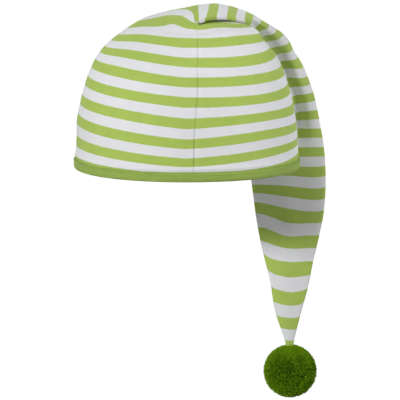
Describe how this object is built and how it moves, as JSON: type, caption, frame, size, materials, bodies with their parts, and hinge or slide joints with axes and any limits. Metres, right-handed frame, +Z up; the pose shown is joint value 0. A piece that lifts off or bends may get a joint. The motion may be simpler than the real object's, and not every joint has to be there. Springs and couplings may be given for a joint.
{
  "type": "nightcap",
  "caption": "Long knitted cotton nightcap in worn form: a striped dome with a folded band at the opening and a tapering tail that folds over and hangs to a yarn pompom.",
  "frame": {"origin": "middle of the opening, at the band's lower edge, where the head goes in", "axes": "+Z up through the crown, -Y to the wearer's front, +X to the wearer's left, the side where the tail hangs"},
  "size_m": [0.2178, 0.1798, 0.3564],
  "materials": {
    "striped_jersey": "cotton jersey in even green and white stripes, matt",
    "green_jersey": "plain green cotton jersey, matt",
    "green_yarn": "cut yarn, dense and matt"
  },
  "bodies": {
    "root": {"left_panel": "striped_jersey", "right_panel": "striped_jersey", "hem_band": "green_jersey", "pompom": "green_yarn"}
  },
  "joints": []
}
